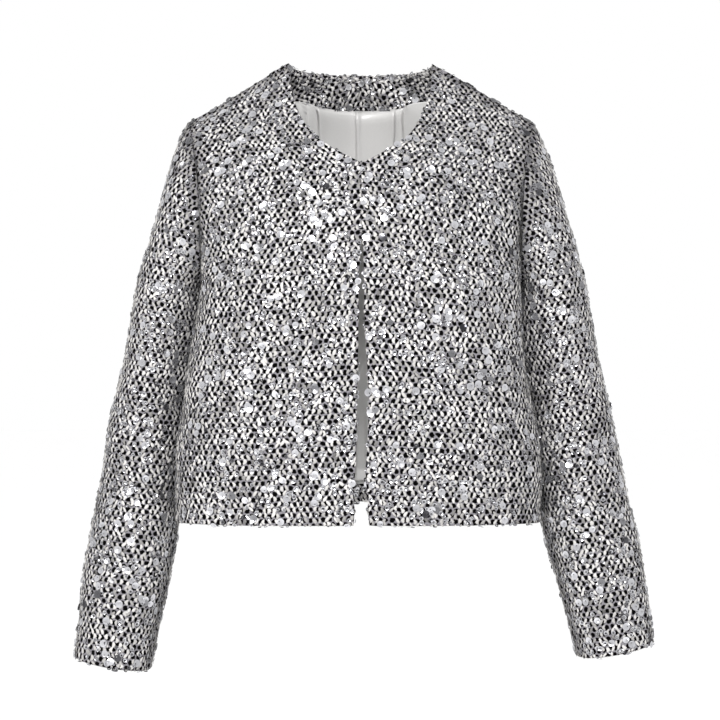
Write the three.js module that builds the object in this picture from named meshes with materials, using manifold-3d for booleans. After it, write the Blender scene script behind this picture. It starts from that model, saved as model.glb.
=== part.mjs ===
// Collarless cropped jacket in a chunky sequin tweed, filled out as if it were worn.
// Millimetres, +Z up. The fronts face -Y and the wearer's left side is +X.
// The origin lies midway between the two points where the shoulder seams reach the neck.

import * as THREE from 'three';
import Module from 'manifold-3d';

const wasm = await Module();
wasm.setup();

// Cloth
const tweedThickness = 2.4;
const liningThickness = 1.0;
const seamGap = 0.3;
const turnedHem = 18;

// Neckline
const neckHalfWidth = 79;
const shoulderLineY = 5;
const frontNeckDrop = 106;
const frontNeckReach = 80;
const backNeckDrop = 5.5;
const backNeckReach = 62;
const facingDepth = 36;
const facingAtShoulder = 34;
const facingEndZ = -12;
const facingCurve = 2.6;

// Body
const hemZ = -489;
const backHemRise = 12;
const sideSeamY = -5;
const frontSideTurn = 103.5;
const backSideTurn = 66;
const bodyFullness = 2.7;

// Mesh
const columns = 12;
const yokeRows = 12;
const headRings = 5;
const ringsPerSection = 2;
const sleeveSides = 2 * yokeRows;
const fineSteps = 96;
const zoneSteps = 20;
const zoneMargin = 20;
const zoneFarY = 150;
const pointsPerMm = 1000;
const mostMitre = 1.8;
const leastCorner = 0.5;

// Horizontal rows of the body below the armholes.
// right and left are half widths at the widest, front and back the depths on the centre lines.
const bodyRows = [
  { z: hemZ, right: 197, left: 192, front: -115, back: 111 },
  { z: hemZ + turnedHem, right: 197.3, left: 192.2, front: -115, back: 111 },
  { z: -436, right: 196.7, left: 192, front: -116, back: 111.5 },
  { z: -405, right: 195.6, left: 188.8, front: -117, back: 112 },
  { z: -358, right: 189, left: 179.8, front: -118, back: 112 },
  { z: -312, right: 181, left: 173.5, front: -118, back: 112.5 },
  { z: -265, right: 173.5, left: 170, front: -116, back: 113 },
  { z: -238, right: 169.8, left: 169, front: -113, back: 112.5 },
];

// Rows of a front from the underarm to the shoulder seam. The first ones start on the front
// edge at the height z, the others on the neckline at the angle neck.
const frontYoke = [
  { z: -226, y: -112, turn: 97, fullness: 2.7 },
  { z: -212, y: -110, turn: 91, fullness: 2.65 },
  { z: -196, y: -107, turn: 85, fullness: 2.6 },
  { z: -178, y: -103, turn: 80, fullness: 2.5 },
  { z: -158, y: -97.5, turn: 76, fullness: 2.4 },
  { z: -134, y: -89, turn: 72, fullness: 2.3 },
  { z: -114, y: -80, turn: 68, fullness: 2.2 },
  { neck: 17, turn: 64, fullness: 2.0 },
  { neck: 36, turn: 60, fullness: 1.8 },
  { neck: 54, turn: 56, fullness: 1.6 },
  { neck: 72, turn: 50, fullness: 1.3 },
  { neck: 90, turn: 45, fullness: 1.0 },
];

// Rows of the back from the underarm to the shoulder seam, in the same way.
const backYoke = [
  { z: -222, y: 112, turn: 66, fullness: 2.7 },
  { z: -203, y: 111.5, turn: 66, fullness: 2.65 },
  { z: -182, y: 110.5, turn: 66, fullness: 2.6 },
  { z: -158, y: 108.5, turn: 66, fullness: 2.5 },
  { z: -130, y: 105, turn: 65, fullness: 2.4 },
  { z: -98, y: 98.5, turn: 64, fullness: 2.25 },
  { z: -54, y: 87, turn: 62, fullness: 2.1 },
  { neck: 0, turn: 60, fullness: 1.9 },
  { neck: 25, turn: 56, fullness: 1.7 },
  { neck: 48, turn: 52, fullness: 1.45 },
  { neck: 70, turn: 48, fullness: 1.2 },
  { neck: 90, turn: 45, fullness: 1.0 },
];

// How far the two front edges stand from the centre line.
const frontEdges = [
  { z: hemZ, right: 9.4, left: 10.3 },
  { z: -442, right: 7.3, left: 5.5 },
  { z: -402, right: 5.8, left: 7.7 },
  { z: -356, right: 5.1, left: 8.5 },
  { z: -326, right: 5.1, left: 7 },
  { z: -296, right: 2.8, left: 6.2 },
  { z: -266, right: 3.5, left: 4 },
  { z: -235, right: 3.5, left: 4 },
  { z: -205, right: 1.3, left: 3.3 },
  { z: -177, right: 0.6, left: 0.8 },
  { z: -114, right: 0.5, left: 0.5 },
];

// Armhole seam, from the shoulder point down the front to the underarm and up the back.
const armhole = [
  { x: 187, y: 5, z: -62 },
  { x: 184.5, y: -14, z: -73 },
  { x: 179, y: -32, z: -97 },
  { x: 173.5, y: -48, z: -132 },
  { x: 171, y: -56, z: -170 },
  { x: 169.8, y: -48, z: -213 },
  { x: 168.2, y: -27, z: -232 },
  { x: 165.5, y: -5, z: -238 },
  { x: 160, y: 18, z: -234 },
  { x: 152.5, y: 43, z: -215 },
  { x: 162.5, y: 61, z: -172 },
  { x: 172, y: 61, z: -128 },
  { x: 179.5, y: 47, z: -94 },
  { x: 184.5, y: 25, z: -72 },
];

// Sections of the sleeves, square to the arm. outer and inner are the distances from the centre
// line, z the height of the outer side, y the middle, deep the half depth, tilt the lean of the arm.
const leftSleeve = [
  { z: -246, outer: 242, inner: 162.5, y: 14, deep: 61, tilt: 15 },
  { z: -309, outer: 254.5, inner: 169.5, y: 14, deep: 58.5, tilt: 13.5 },
  { z: -367, outer: 267, inner: 180, y: 12, deep: 55, tilt: 13 },
  { z: -425, outer: 280, inner: 190, y: 10, deep: 51, tilt: 12.5 },
  { z: -475, outer: 290, inner: 195.5, y: 5, deep: 48, tilt: 12 },
  { z: -525, outer: 300, inner: 207.5, y: -2, deep: 46, tilt: 11 },
  { z: -575, outer: 308, inner: 220.5, y: -8, deep: 44, tilt: 10 },
  { z: -621, outer: 313.5, inner: 232, y: -13, deep: 42.5, tilt: 11 },
];
const rightSleeve = [
  { z: -246, outer: 240.5, inner: 165.5, y: 15, deep: 62, tilt: 14.5 },
  { z: -309, outer: 254.5, inner: 174.5, y: 16, deep: 59.5, tilt: 13 },
  { z: -367, outer: 267, inner: 184.5, y: 15, deep: 57, tilt: 11.5 },
  { z: -425, outer: 277, inner: 192, y: 12, deep: 52, tilt: 10.5 },
  { z: -478, outer: 286.5, inner: 196, y: 6, deep: 48.5, tilt: 10 },
  { z: -530, outer: 295, inner: 205, y: 0, deep: 46, tilt: 9 },
  { z: -583, outer: 302.5, inner: 215.5, y: -7, deep: 44, tilt: 9 },
  { z: -636, outer: 307, inner: 225.5, y: -13, deep: 42.5, tilt: 10 },
];
const sleeveTwist = 14;
const sleeveFullness = 2.2;

// How the sleeve leaves the armhole seam at the shoulder, front, underarm and back.
const headDirections = [
  { at: 0, x: 0.45, y: 0.03, z: -0.89 },
  { at: 0.25, x: 0.85, y: 0.0, z: -0.53 },
  { at: 0.5, x: 0.93, y: 0.0, z: -0.37 },
  { at: 0.75, x: 0.85, y: 0.1, z: -0.52 },
  { at: 1, x: 0.45, y: 0.03, z: -0.89 },
];

const tweed = new THREE.MeshStandardMaterial({ color: 0xa3a2a1, roughness: 0.7, metalness: 0.1 });
const satin = new THREE.MeshStandardMaterial({ color: 0xc9c8c7, roughness: 0.35, metalness: 0 });

const lerp = THREE.MathUtils.lerp;
const radians = THREE.MathUtils.degToRad;
const signedPower = (value, power) => Math.sign(value) * Math.abs(value) ** power;

// Reads one column of a table at a height between its rows.
function atHeight(table, column, z) {
  const after = table.findIndex((row) => row.z >= z);
  if (after <= 0) return after < 0 ? table[table.length - 1][column] : table[0][column];
  const low = table[after - 1];
  const high = table[after];
  return lerp(low[column], high[column], (z - low.z) / (high.z - low.z));
}

// Points at even steps along a curve given as a function of 0 to 1.
function evenSteps(pointAt, steps) {
  const points = Array.from({ length: fineSteps + 1 }, (_, i) => pointAt(i / fineSteps));
  const reach = [0];
  for (let i = 1; i <= fineSteps; i++) {
    reach.push(reach[i - 1] + points[i].distanceTo(points[i - 1]));
  }
  const result = [];
  for (let s = 0, i = 1; s <= steps; s++) {
    const wanted = (reach[fineSteps] * s) / steps;
    while (i < fineSteps && reach[i] < wanted) i++;
    const part = (wanted - reach[i - 1]) / (reach[i] - reach[i - 1]);
    result.push(points[i - 1].clone().lerp(points[i], part));
  }
  return result;
}

function frontNeckPoint(angle) {
  const drop = Math.cos(radians(angle));
  const across = neckHalfWidth * Math.sin(radians(angle));
  return new THREE.Vector3(across, shoulderLineY - frontNeckReach * drop, -frontNeckDrop * drop);
}

function backNeckPoint(angle) {
  const reach = Math.cos(radians(angle));
  const across = neckHalfWidth * Math.sin(radians(angle));
  return new THREE.Vector3(across, shoulderLineY + backNeckReach * reach, -backNeckDrop * reach);
}

// One row of a panel: an arc of a superellipse in plan, from its inner to its outer end.
function panelRow(inner, outer, turn, fullness) {
  const power = 2 / fullness;
  const end = radians(turn);
  const wide = signedPower(Math.sin(end), power);
  const deep = 1 - signedPower(Math.cos(end), power);
  return evenSteps((part) => {
    const across = signedPower(Math.sin(end * part), power) / wide;
    const along = (1 - signedPower(Math.cos(end * part), power)) / deep;
    return new THREE.Vector3(
      lerp(inner.x, outer.x, across),
      lerp(inner.y, outer.y, along),
      lerp(inner.z, outer.z, across),
    );
  }, columns);
}

const armholeCurve = new THREE.CatmullRomCurve3(
  armhole.map((p) => new THREE.Vector3(p.x, p.y, p.z)),
  true,
  'catmullrom',
);
const underarmAt = armhole.findIndex((p) => p.y === sideSeamY) / armhole.length;
const armholeFront = evenSteps((t) => armholeCurve.getPoint(underarmAt * (1 - t)), yokeRows);
const armholeBack = evenSteps((t) => armholeCurve.getPoint(lerp(underarmAt, 1, t)), yokeRows);

function sideSeamPoint(z, halfWidth) {
  const widest = Math.sin(radians(frontSideTurn)) ** (2 / bodyFullness);
  return new THREE.Vector3(halfWidth * widest, sideSeamY, z);
}

// Both sides are worked out with x outwards. A side of -1 mirrors the finished point.
function frontRows(side) {
  const half = side > 0 ? 'left' : 'right';
  const lower = bodyRows.slice(0, -1).map((row) => {
    const inner = new THREE.Vector3(atHeight(frontEdges, half, row.z), row.front, row.z);
    return panelRow(inner, sideSeamPoint(row.z, row[half]), frontSideTurn, bodyFullness);
  });
  const top = bodyRows[bodyRows.length - 1];
  const edge = new THREE.Vector3(atHeight(frontEdges, half, top.z), top.front, top.z);
  lower.push(panelRow(edge, armholeFront[0], frontSideTurn, bodyFullness));
  const upper = frontYoke.map((row, i) => {
    const inner = 'neck' in row
      ? frontNeckPoint(row.neck)
      : new THREE.Vector3(atHeight(frontEdges, half, row.z), row.y, row.z);
    return panelRow(inner, armholeFront[i + 1], row.turn, row.fullness);
  });
  return [...lower, ...upper];
}

function backRows(side) {
  const half = side > 0 ? 'left' : 'right';
  const lower = bodyRows.slice(0, -1).map((row) => {
    const rise = row.z < hemZ + 2 * turnedHem ? backHemRise : 0;
    const inner = new THREE.Vector3(0, row.back, row.z + rise);
    return panelRow(inner, sideSeamPoint(row.z, row[half]), backSideTurn, bodyFullness);
  });
  const top = bodyRows[bodyRows.length - 1];
  const centre = new THREE.Vector3(0, top.back, top.z);
  lower.push(panelRow(centre, armholeBack[0], backSideTurn, bodyFullness));
  const upper = backYoke.map((row, i) => {
    const inner = 'neck' in row ? backNeckPoint(row.neck) : new THREE.Vector3(0, row.y, row.z);
    return panelRow(inner, armholeBack[i + 1], row.turn, row.fullness);
  });
  return [...lower, ...upper];
}

// A section of a sleeve: an oval, twisted a little so that its long side follows the body.
function sleeveRing(section) {
  const tilt = radians(section.tilt);
  const twist = radians(sleeveTwist);
  const half = (section.outer - section.inner) / 2 / Math.cos(tilt);
  const slim = Math.sqrt(half ** 2 - (section.deep * Math.sin(twist)) ** 2) / Math.cos(twist);
  const out = new THREE.Vector3(Math.cos(tilt), 0, Math.sin(tilt));
  const forward = new THREE.Vector3(0, -1, 0);
  const slimWay = out.clone().multiplyScalar(Math.cos(twist));
  slimWay.addScaledVector(forward, -Math.sin(twist));
  const deepWay = forward.clone().multiplyScalar(Math.cos(twist));
  deepWay.addScaledVector(out, Math.sin(twist));
  const centre = new THREE.Vector3(section.outer, section.y, section.z);
  centre.addScaledVector(out, -half);
  const power = 2 / sleeveFullness;
  return evenSteps((part) => {
    const angle = 2 * Math.PI * part;
    return centre
      .clone()
      .addScaledVector(slimWay, slim * signedPower(Math.cos(angle), power))
      .addScaledVector(deepWay, section.deep * signedPower(Math.sin(angle), power));
  }, sleeveSides).slice(0, sleeveSides);
}

function headDirection(part) {
  const after = Math.max(1, headDirections.findIndex((row) => row.at >= part));
  const low = headDirections[after - 1];
  const high = headDirections[after];
  const mix = THREE.MathUtils.smoothstep(part, low.at, high.at);
  return new THREE.Vector3(
    lerp(low.x, high.x, mix),
    lerp(low.y, high.y, mix),
    lerp(low.z, high.z, mix),
  ).normalize();
}

function hermite(from, fromSlope, to, toSlope, t) {
  return new THREE.Vector3()
    .addScaledVector(from, 2 * t ** 3 - 3 * t ** 2 + 1)
    .addScaledVector(fromSlope, t ** 3 - 2 * t ** 2 + t)
    .addScaledVector(to, 3 * t ** 2 - 2 * t ** 3)
    .addScaledVector(toSlope, t ** 3 - t ** 2);
}

// Rings of a sleeve: the armhole seam, the sleeve head, then the sections down to the cuff.
function sleeveRings(sections) {
  const seam = [...armholeFront].reverse().concat(armholeBack.slice(1, -1));
  const rings = sections.map(sleeveRing);
  const all = [seam];
  for (let h = 1; h <= headRings; h++) {
    all.push(seam.map((start, j) => {
      const end = rings[0][j];
      const length = start.distanceTo(end);
      const down = rings[1][j].clone().sub(end).normalize().multiplyScalar(length);
      const leave = headDirection(j / sleeveSides).multiplyScalar(length);
      return hermite(start, leave, end, down, h / headRings);
    }));
  }
  for (let s = 0; s + 1 < rings.length; s++) {
    const before = rings[Math.max(0, s - 1)];
    const after = rings[Math.min(rings.length - 1, s + 2)];
    for (let r = 1; r <= ringsPerSection; r++) {
      all.push(rings[s].map((start, j) => {
        const end = rings[s + 1][j];
        const first = end.clone().sub(before[j]).multiplyScalar(0.5);
        const last = after[j].clone().sub(start).multiplyScalar(0.5);
        return hermite(start, first, end, last, r / ringsPerSection);
      }));
    }
  }
  return all;
}

// A surface is a list of points and a list of triangles whose faces look outwards.
const keyOf = (p) => [p.x, p.y, p.z].map((v) => Math.round(v * pointsPerMm)).join();

function surface() {
  return { points: [], faces: [], index: new Map() };
}

function addPoint(sheet, point) {
  const key = keyOf(point);
  if (!sheet.index.has(key)) {
    sheet.index.set(key, sheet.points.length);
    sheet.points.push(point.clone());
  }
  return sheet.index.get(key);
}

function addGrid(sheet, rows, side, flip, closed) {
  const mirrored = (p) => new THREE.Vector3(side * p.x, p.y, p.z);
  const ids = rows.map((row) => row.map((p) => addPoint(sheet, mirrored(p))));
  for (let r = 0; r + 1 < ids.length; r++) {
    const count = ids[r].length;
    for (let c = 0; c < (closed ? count : count - 1); c++) {
      const next = (c + 1) % count;
      const quad = [ids[r][c], ids[r][next], ids[r + 1][next], ids[r + 1][c]];
      if (flip) quad.reverse();
      sheet.faces.push([quad[0], quad[1], quad[2]], [quad[0], quad[2], quad[3]]);
    }
  }
  return sheet;
}

// Normals of the whole garment, for its body and its sleeves. On a seam they are averaged, so that
// both walls end on one mitred face.
const garmentNormals = new Map();

function gatherNormals(sheet, share) {
  for (const [a, b, c] of sheet.faces) {
    const ab = sheet.points[b].clone().sub(sheet.points[a]);
    const ac = sheet.points[c].clone().sub(sheet.points[a]);
    const normal = ab.cross(ac);
    for (const i of [a, b, c]) {
      const key = keyOf(sheet.points[i]);
      if (!garmentNormals.has(key)) garmentNormals.set(key, {});
      const shares = garmentNormals.get(key);
      shares[share] = (shares[share] ?? new THREE.Vector3()).add(normal);
    }
  }
}

function sharedNormal(point) {
  const shares = Object.values(garmentNormals.get(keyOf(point)));
  const sum = new THREE.Vector3();
  for (const share of shares) sum.add(share.clone().normalize());
  const mitre = Math.min(mostMitre, shares.length / sum.length());
  return { normal: sum.normalize(), mitre };
}

// Edges with a face on one side only, each as a pair of points in the order of its face.
function openEdges(sheet) {
  const edges = new Map();
  for (const [a, b, c] of sheet.faces) {
    for (const [from, to] of [[a, b], [b, c], [c, a]]) {
      const back = `${to}-${from}`;
      if (edges.has(back)) edges.delete(back);
      else edges.set(`${from}-${to}`, [from, to]);
    }
  }
  return [...edges.values()];
}

// Each open edge is drawn back by half of the seam's gap.
function drawBack(sheet, normals) {
  const shifts = new Map();
  for (const [from, to] of openEdges(sheet)) {
    const along = sheet.points[to].clone().sub(sheet.points[from]).normalize();
    for (const i of [from, to]) {
      const inward = normals[i].clone().cross(along).normalize();
      if (!shifts.has(i)) shifts.set(i, []);
      shifts.get(i).push(inward);
    }
  }
  const moved = sheet.points.map((p) => p.clone());
  for (const [i, sides] of shifts) {
    const sum = sides.reduce((total, side) => total.add(side), new THREE.Vector3());
    const size = Math.max(leastCorner, 1 + sides[0].dot(sides[sides.length - 1]));
    moved[i].addScaledVector(sum, seamGap / 2 / size);
  }
  return moved;
}

// A wall of cloth between two depths below the surface.
function wall(sheet, depths) {
  const shared = sheet.points.map(sharedNormal);
  const base = drawBack(sheet, shared.map((s) => s.normal));
  const count = base.length;
  const positions = [];
  for (const depth of depths) {
    base.forEach((p, i) => {
      const q = p.clone().addScaledVector(shared[i].normal, -depth * shared[i].mitre);
      positions.push(q.x, q.y, q.z);
    });
  }
  const triangles = [];
  for (const [a, b, c] of sheet.faces) {
    triangles.push(a, b, c, a + count, c + count, b + count);
  }
  // The two walls at a seam split their end faces along the same diagonals.
  for (const [a, b] of openEdges(sheet)) {
    if (keyOf(sheet.points[a]) < keyOf(sheet.points[b])) {
      triangles.push(b, a, b + count, a, a + count, b + count);
    } else {
      triangles.push(b, a, a + count, b, a + count, b + count);
    }
  }
  const geometry = new THREE.BufferGeometry();
  geometry.setAttribute('position', new THREE.Float32BufferAttribute(positions, 3));
  geometry.setIndex(triangles);
  return geometry;
}

function toSolid(geometry) {
  return new wasm.Manifold(new wasm.Mesh({
    numProp: 3,
    vertProperties: new Float32Array(geometry.getAttribute('position').array),
    triVerts: new Uint32Array(geometry.getIndex().array),
  }));
}

function toGeometry(solid) {
  const mesh = solid.getMesh();
  const geometry = new THREE.BufferGeometry();
  geometry.setAttribute('position', new THREE.BufferAttribute(mesh.vertProperties, 3));
  geometry.setIndex(new THREE.BufferAttribute(mesh.triVerts, 1));
  return geometry;
}

// The zone of the back neck facing, seen from the front, as a block that runs through the back.
function facingZone(lowered) {
  const reach = neckHalfWidth + facingAtShoulder;
  const side = reach + zoneMargin;
  const top = 2 * zoneMargin;
  const middle = -backNeckDrop - facingDepth - lowered;
  const ends = facingEndZ - lowered;
  const outline = [];
  for (let i = 0; i <= zoneSteps; i++) {
    const x = lerp(-side, side, i / zoneSteps);
    outline.push(new THREE.Vector2(x, lerp(middle, ends, Math.abs(x / reach) ** facingCurve)));
  }
  outline.push(new THREE.Vector2(side, top), new THREE.Vector2(-side, top));
  const block = new THREE.ExtrudeGeometry(new THREE.Shape(outline), {
    depth: zoneFarY,
    bevelEnabled: false,
  });
  block.rotateX(Math.PI / 2);
  block.translate(0, zoneFarY, 0);
  return mergedSolid(block);
}

function mergedSolid(geometry) {
  const sheet = surface();
  const position = geometry.getAttribute('position');
  const ids = Array.from({ length: position.count }, (_, i) => {
    return addPoint(sheet, new THREE.Vector3().fromBufferAttribute(position, i));
  });
  const flat = sheet.points.flatMap((p) => p.toArray());
  const merged = new THREE.BufferGeometry();
  merged.setAttribute('position', new THREE.Float32BufferAttribute(flat, 3));
  merged.setIndex(ids);
  return toSolid(merged);
}

const sides = [
  { name: 'left', side: 1, sleeve: leftSleeve },
  { name: 'right', side: -1, sleeve: rightSleeve },
];

const outside = {};
for (const { name, side, sleeve } of sides) {
  outside[`front_${name}`] = addGrid(surface(), frontRows(side), side, side < 0, false);
  outside[`sleeve_${name}`] = addGrid(surface(), sleeveRings(sleeve), side, side < 0, true);
}
outside.back = surface();
const liningSheet = surface();
for (const { side } of sides) {
  const rows = backRows(side);
  addGrid(outside.back, rows, side, side > 0, false);
  addGrid(liningSheet, rows.slice(1), side, side > 0, false);
}
for (const [name, sheet] of Object.entries(outside)) {
  gatherNormals(sheet, name.startsWith('sleeve') ? 'sleeves' : 'body');
}

const underWall = tweedThickness + seamGap;

const jacket = new THREE.Group();

function addPiece(name, geometry, material) {
  const piece = new THREE.Mesh(geometry, material);
  piece.name = name;
  jacket.add(piece);
}

for (const [name, sheet] of Object.entries(outside)) {
  addPiece(name, wall(sheet, [0, tweedThickness]), tweed);
}
const facingLayer = toSolid(wall(liningSheet, [underWall, underWall + tweedThickness]));
const liningLayer = toSolid(wall(liningSheet, [underWall, underWall + liningThickness]));
addPiece('back_neck_facing', toGeometry(facingLayer.intersect(facingZone(0))), tweed);
addPiece('lining_back', toGeometry(liningLayer.subtract(facingZone(seamGap))), satin);

export default jacket;
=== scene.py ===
import math
import bpy
import numpy as np
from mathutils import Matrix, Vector
from mathutils.bvhtree import BVHTree
from mathutils.kdtree import KDTree


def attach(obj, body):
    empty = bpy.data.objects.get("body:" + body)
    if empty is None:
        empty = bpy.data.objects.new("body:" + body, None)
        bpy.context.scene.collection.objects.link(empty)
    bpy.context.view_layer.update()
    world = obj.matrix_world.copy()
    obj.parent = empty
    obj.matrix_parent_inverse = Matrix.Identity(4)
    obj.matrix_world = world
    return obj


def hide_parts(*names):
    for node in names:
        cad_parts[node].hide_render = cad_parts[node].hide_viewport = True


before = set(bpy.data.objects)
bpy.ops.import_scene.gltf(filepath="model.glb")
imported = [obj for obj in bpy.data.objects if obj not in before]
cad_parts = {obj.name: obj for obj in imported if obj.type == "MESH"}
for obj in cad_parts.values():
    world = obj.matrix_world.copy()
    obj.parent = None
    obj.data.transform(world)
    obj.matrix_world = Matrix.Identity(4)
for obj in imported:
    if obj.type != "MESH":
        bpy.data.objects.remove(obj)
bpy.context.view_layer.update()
bpy.ops.object.select_all(action="DESELECT")
mm = 0.001
print("frame loaded, nodes:", len(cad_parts))


# Camera, light and floor

studio = {
    "cameraAway": 2400 * mm,      # from the plane between the shoulder seams
    "viewWide": 777.6 * mm,       # what the photograph takes in at that plane
    "viewCentre": (-1.1 * mm, -320 * mm),
    "farthest": 60.0,
    "floorZ": -1350 * mm,         # the ground that a wearer would stand on
    "floorSize": 60.0,
    "worldStrength": 1.0,
    # name, place, what it points at, size, watts, colour
    "lights": [
        ("keyLight", (-1.7, -2.1, 1.0), (0, 0, -0.3), 1.3, 20, "#fffdfa"),
        ("frontLight", (-0.15, -2.5, 0.75), (0, 0, -0.2), 0.6, 92, "#ffffff"),
    ],
}


def linearColour(hexValue):
    # sRGB hex to linear RGBA.
    parts = [int(hexValue[i:i + 2], 16) / 255 for i in (1, 3, 5)]
    linear = [c / 12.92 if c <= 0.04045 else ((c + 0.055) / 1.055) ** 2.4 for c in parts]
    return (*linear, 1.0)


def addNode(tree, kind, settings=None, inputs=None):
    # Adds one node, with its settings, its values and its links.
    node = tree.nodes.new(kind)
    for key, value in (settings or {}).items():
        setattr(node, key, value)
    for key, value in (inputs or {}).items():
        socket = node.inputs[key]
        if isinstance(value, bpy.types.NodeSocket):
            tree.links.new(value, socket)
        else:
            socket.default_value = value
    return node


def newMaterial(name):
    material = bpy.data.materials.new(name)
    material.use_nodes = True
    return material, material.node_tree, material.node_tree.nodes["Principled BSDF"]


def addAreaLight(name, place, target, size, watts, colour):
    lamp = bpy.data.lights.new(name, "AREA")
    lamp.shape = "DISK"
    lamp.size = size
    lamp.energy = watts
    lamp.color = linearColour(colour)[:3]
    holder = bpy.data.objects.new(name, lamp)
    holder.location = place
    holder.rotation_euler = (Vector(target) - Vector(place)).to_track_quat("-Z", "Y").to_euler()
    bpy.context.scene.collection.objects.link(holder)


def makeStudio():
    scene = bpy.context.scene
    camera = bpy.data.cameras.new("camera")
    camera.sensor_width = 36
    camera.lens = camera.sensor_width * studio["cameraAway"] / studio["viewWide"]
    camera.clip_end = studio["farthest"]
    holder = bpy.data.objects.new("camera", camera)
    centreX, centreZ = studio["viewCentre"]
    holder.location = (centreX, -studio["cameraAway"], centreZ)
    holder.rotation_euler = (math.radians(90), 0, 0)
    scene.collection.objects.link(holder)
    scene.camera = holder

    world = bpy.data.worlds.new("studio")
    world.use_nodes = True
    background = world.node_tree.nodes["Background"]
    background.inputs["Color"].default_value = (1, 1, 1, 1)
    background.inputs["Strength"].default_value = studio["worldStrength"]
    scene.world = world
    scene.view_settings.view_transform = "Standard"

    for light in studio["lights"]:
        addAreaLight(*light)

    half, z = studio["floorSize"] / 2, studio["floorZ"]
    corners = [(-half, -half, z), (half, -half, z), (half, half, z), (-half, half, z)]
    floorMesh = bpy.data.meshes.new("floor")
    floorMesh.from_pydata(corners, [], [(0, 1, 2, 3)])
    floor = bpy.data.objects.new("floor", floorMesh)
    # White emulsion paint: no sheen, so the ground stays plain and even.
    paint, tree, shader = newMaterial("matt white floor paint")
    shader.inputs["Base Color"].default_value = linearColour("#ffffff")
    shader.inputs["Roughness"].default_value = 0.9
    floorMesh.materials.append(paint)
    scene.collection.objects.link(floor)


makeStudio()
print("studio ready")


# The cut, in millimetres: the same rows as the solids are made from

cut = {
    "neckHalfWidth": 79, "shoulderLineY": 5,
    "frontNeckDrop": 106, "frontNeckReach": 80,
    "backNeckDrop": 5.5, "backNeckReach": 62,
    "facingDepth": 36, "facingAtShoulder": 34, "facingEndZ": -12, "facingCurve": 2.6,
    "hemZ": -489, "turnedHem": 18, "backHemRise": 12,
    "sideSeamY": -5, "frontSideTurn": 103.5, "backSideTurn": 66, "bodyFullness": 2.7,
    "yokeRows": 12, "sleeveTwist": 14, "sleeveFullness": 2.2,
    "neckRows": {"front": 14, "back": 15},   # where the neckline starts
    "frontEdgeLeast": 0.4,        # from the centre line
    "gridStep": 3.5,              # spacing of the cloth's mesh
    "panelAround": 262, "sleeveAround": 350,   # lengths that the step is fitted to
    "fineRow": 300, "fineCurve": 240, "fineRing": 721,   # points that the even steps are taken from
    "weldsPerMm": 20,             # how finely points are told apart
    "shellThick": 2.0, "seamGap": 0.3,
    "floatRoom": 0.6,             # how far the cloth lies under the solid's face, for its floats
    "seamDips": (0.9, 0.2),       # how much a seam is drawn down, at it and one step away
    "rimAngles": (45, 90, 135),   # points of a rounded edge
    "turnedEdge": 7, "turnedSteps": 5, "turnedAngles": (30, 60, 90, 120, 150, 180),
    "hemEase": (0.25, 0.5, 0.8),  # how much of the creases reaches the hem
}

# z, right half width, left half width, front depth, back depth
bodyRows = [
    (-489, 197, 192, -115, 111),
    (-471, 197.3, 192.2, -115, 111),
    (-436, 196.7, 192, -116, 111.5),
    (-405, 195.6, 188.8, -117, 112),
    (-358, 189, 179.8, -118, 112),
    (-312, 181, 173.5, -118, 112.5),
    (-265, 173.5, 170, -116, 113),
    (-238, 169.8, 169, -113, 112.5),
]
# height or neck angle of the inner end, its depth, turn in plan, fullness
frontYoke = [
    ("z", -226, -112, 97, 2.7), ("z", -212, -110, 91, 2.65), ("z", -196, -107, 85, 2.6),
    ("z", -178, -103, 80, 2.5), ("z", -158, -97.5, 76, 2.4), ("z", -134, -89, 72, 2.3),
    ("z", -114, -80, 68, 2.2), ("neck", 17, 0, 64, 2.0), ("neck", 36, 0, 60, 1.8),
    ("neck", 54, 0, 56, 1.6), ("neck", 72, 0, 50, 1.3), ("neck", 90, 0, 45, 1.0),
]
backYoke = [
    ("z", -222, 112, 66, 2.7), ("z", -203, 111.5, 66, 2.65), ("z", -182, 110.5, 66, 2.6),
    ("z", -158, 108.5, 66, 2.5), ("z", -130, 105, 65, 2.4), ("z", -98, 98.5, 64, 2.25),
    ("z", -54, 87, 62, 2.1), ("neck", 0, 0, 60, 1.9), ("neck", 25, 0, 56, 1.7),
    ("neck", 48, 0, 52, 1.45), ("neck", 70, 0, 48, 1.2), ("neck", 90, 0, 45, 1.0),
]
# z, right edge, left edge, both from the centre line
frontEdges = [
    (-489, 9.4, 10.3), (-442, 7.3, 5.5), (-402, 5.8, 7.7), (-356, 5.1, 8.5),
    (-326, 5.1, 7.0), (-296, 2.8, 6.2), (-266, 3.5, 4.0), (-235, 3.5, 4.0),
    (-205, 1.3, 3.3), (-177, 0.6, 0.8), (-114, 0.5, 0.5),
]
# shoulder point, down the front, the underarm at the eighth point, up the back
armhole = [
    (187, 5, -62), (184.5, -14, -73), (179, -32, -97), (173.5, -48, -132), (171, -56, -170),
    (169.8, -48, -213), (168.2, -27, -232), (165.5, -5, -238), (160, 18, -234), (152.5, 43, -215),
    (162.5, 61, -172), (172, 61, -128), (179.5, 47, -94), (184.5, 25, -72),
]
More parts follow.
